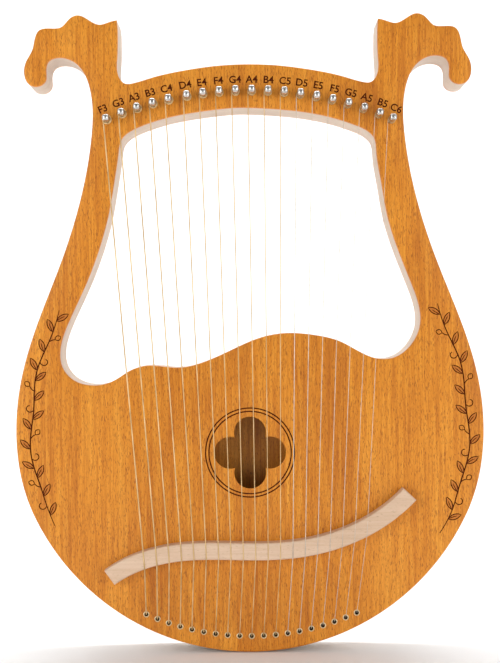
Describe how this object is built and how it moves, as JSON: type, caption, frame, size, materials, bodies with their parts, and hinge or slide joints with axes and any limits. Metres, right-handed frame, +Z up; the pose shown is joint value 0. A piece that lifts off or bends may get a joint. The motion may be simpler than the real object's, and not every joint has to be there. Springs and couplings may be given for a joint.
{
  "type": "lyre harp",
  "caption": "Flat-bodied wooden lyre harp with scrolled arms, a waved hand window, a four-lobed sound hole, an S-shaped bridge, tuning pins and metal strings.",
  "frame": {"origin": "under the middle of the instrument, at the level of its lowest point and halfway through its depth", "axes": "+Z up along the strings towards the tuning pins, +X to the right seen from the front, front faces -Y"},
  "size_m": [0.352, 0.058, 0.48],
  "materials": {
    "mahogany": "satin lacquer over orange-brown mahogany with straight grain",
    "frame_wood": "satin lacquer over pale hardwood",
    "bridge_wood": "smooth bare maple",
    "eyelet_metal": "aged brass",
    "ball_metal": "bright brass",
    "pin_metal": "polished nickel",
    "wound_string": "bronze winding on steel",
    "plain_string": "drawn steel wire"
  },
  "bodies": {
    "root": {"front_plate": "mahogany", "back_plate": "mahogany", "head_block": "frame_wood", "left_arm": "frame_wood", "right_arm": "frame_wood", "left_side": "frame_wood", "right_side": "frame_wood", "waist_bar": "frame_wood", "tail_block": "frame_wood", "left_soundboard_brace": "frame_wood", "right_soundboard_brace": "frame_wood", "back_brace": "frame_wood", "bridge": "bridge_wood", "string_eyelets": "eyelet_metal", "string_ball_ends": "ball_metal", "string_F3": "wound_string", "string_G3": "wound_string", "string_A3": "wound_string", "string_B3": "wound_string", "string_C4": "wound_string", "string_D4": "wound_string", "string_E4": "wound_string", "string_F4": "wound_string", "string_G4": "wound_string", "string_A4": "wound_string", "string_B4": "wound_string", "string_C5": "wound_string", "string_D5": "plain_string", "string_E5": "plain_string", "string_F5": "plain_string", "string_G5": "plain_string", "string_A5": "plain_string", "string_B5": "plain_string", "string_C6": "plain_string"},
    "pin_F3": {"tuning_pin_F3": "pin_metal"},
    "pin_G3": {"tuning_pin_G3": "pin_metal"},
    "pin_A3": {"tuning_pin_A3": "pin_metal"},
    "pin_B3": {"tuning_pin_B3": "pin_metal"},
    "pin_C4": {"tuning_pin_C4": "pin_metal"},
    "pin_D4": {"tuning_pin_D4": "pin_metal"},
    "pin_E4": {"tuning_pin_E4": "pin_metal"},
    "pin_F4": {"tuning_pin_F4": "pin_metal"},
    "pin_G4": {"tuning_pin_G4": "pin_metal"},
    "pin_A4": {"tuning_pin_A4": "pin_metal"},
    "pin_B4": {"tuning_pin_B4": "pin_metal"},
    "pin_C5": {"tuning_pin_C5": "pin_metal"},
    "pin_D5": {"tuning_pin_D5": "pin_metal"},
    "pin_E5": {"tuning_pin_E5": "pin_metal"},
    "pin_F5": {"tuning_pin_F5": "pin_metal"},
    "pin_G5": {"tuning_pin_G5": "pin_metal"},
    "pin_A5": {"tuning_pin_A5": "pin_metal"},
    "pin_B5": {"tuning_pin_B5": "pin_metal"},
    "pin_C6": {"tuning_pin_C6": "pin_metal"}
  },
  "joints": [
    {"name": "tune_F3", "type": "hinge", "parent": "root", "child": "pin_F3", "pos_m": [-0.10548, -0.009, 0.40016], "axis": [0, 1, 0], "range_deg": [-1296, 60]},
    {"name": "tune_G3", "type": "hinge", "parent": "root", "child": "pin_G3", "pos_m": [-0.09414, -0.009, 0.40454], "axis": [0, 1, 0], "range_deg": [-1296, 60]},
    {"name": "tune_A3", "type": "hinge", "parent": "root", "child": "pin_A3", "pos_m": [-0.08262, -0.009, 0.40841], "axis": [0, 1, 0], "range_deg": [-1296, 60]},
    {"name": "tune_B3", "type": "hinge", "parent": "root", "child": "pin_B3", "pos_m": [-0.07094, -0.009, 0.41178], "axis": [0, 1, 0], "range_deg": [-1296, 60]},
    {"name": "tune_C4", "type": "hinge", "parent": "root", "child": "pin_C4", "pos_m": [-0.05912, -0.009, 0.41463], "axis": [0, 1, 0], "range_deg": [-1296, 60]},
    {"name": "tune_D4", "type": "hinge", "parent": "root", "child": "pin_D4", "pos_m": [-0.04552, -0.009, 0.41724], "axis": [0, 1, 0], "range_deg": [-1296, 60]},
    {"name": "tune_E4", "type": "hinge", "parent": "root", "child": "pin_E4", "pos_m": [-0.03349, -0.009, 0.41897], "axis": [0, 1, 0], "range_deg": [-1296, 60]},
    {"name": "tune_F4", "type": "hinge", "parent": "root", "child": "pin_F4", "pos_m": [-0.02139, -0.009, 0.42017], "axis": [0, 1, 0], "range_deg": [-1296, 60]},
    {"name": "tune_G4", "type": "hinge", "parent": "root", "child": "pin_G4", "pos_m": [-0.00925, -0.009, 0.42085], "axis": [0, 1, 0], "range_deg": [-1296, 60]},
    {"name": "tune_A4", "type": "hinge", "parent": "root", "child": "pin_A4", "pos_m": [0.00291, -0.009, 0.42098], "axis": [0, 1, 0], "range_deg": [-1296, 60]},
    {"name": "tune_B4", "type": "hinge", "parent": "root", "child": "pin_B4", "pos_m": [0.01506, -0.009, 0.42059], "axis": [0, 1, 0], "range_deg": [-1296, 60]},
    {"name": "tune_C5", "type": "hinge", "parent": "root", "child": "pin_C5", "pos_m": [0.02718, -0.009, 0.41967], "axis": [0, 1, 0], "range_deg": [-1296, 60]},
    {"name": "tune_D5", "type": "hinge", "parent": "root", "child": "pin_D5", "pos_m": [0.03925, -0.009, 0.41821], "axis": [0, 1, 0], "range_deg": [-1296, 60]},
    {"name": "tune_E5", "type": "hinge", "parent": "root", "child": "pin_E5", "pos_m": [0.05124, -0.009, 0.41623], "axis": [0, 1, 0], "range_deg": [-1296, 60]},
    {"name": "tune_F5", "type": "hinge", "parent": "root", "child": "pin_F5", "pos_m": [0.06313, -0.009, 0.41372], "axis": [0, 1, 0], "range_deg": [-1296, 60]},
    {"name": "tune_G5", "type": "hinge", "parent": "root", "child": "pin_G5", "pos_m": [0.07491, -0.009, 0.41069], "axis": [0, 1, 0], "range_deg": [-1296, 60]},
    {"name": "tune_A5", "type": "hinge", "parent": "root", "child": "pin_A5", "pos_m": [0.08654, -0.009, 0.40716], "axis": [0, 1, 0], "range_deg": [-1296, 60]},
    {"name": "tune_B5", "type": "hinge", "parent": "root", "child": "pin_B5", "pos_m": [0.098, -0.009, 0.40311], "axis": [0, 1, 0], "range_deg": [-1296, 60]},
    {"name": "tune_C6", "type": "hinge", "parent": "root", "child": "pin_C6", "pos_m": [0.10772, -0.009, 0.39923], "axis": [0, 1, 0], "range_deg": [-1296, 60]}
  ]
}
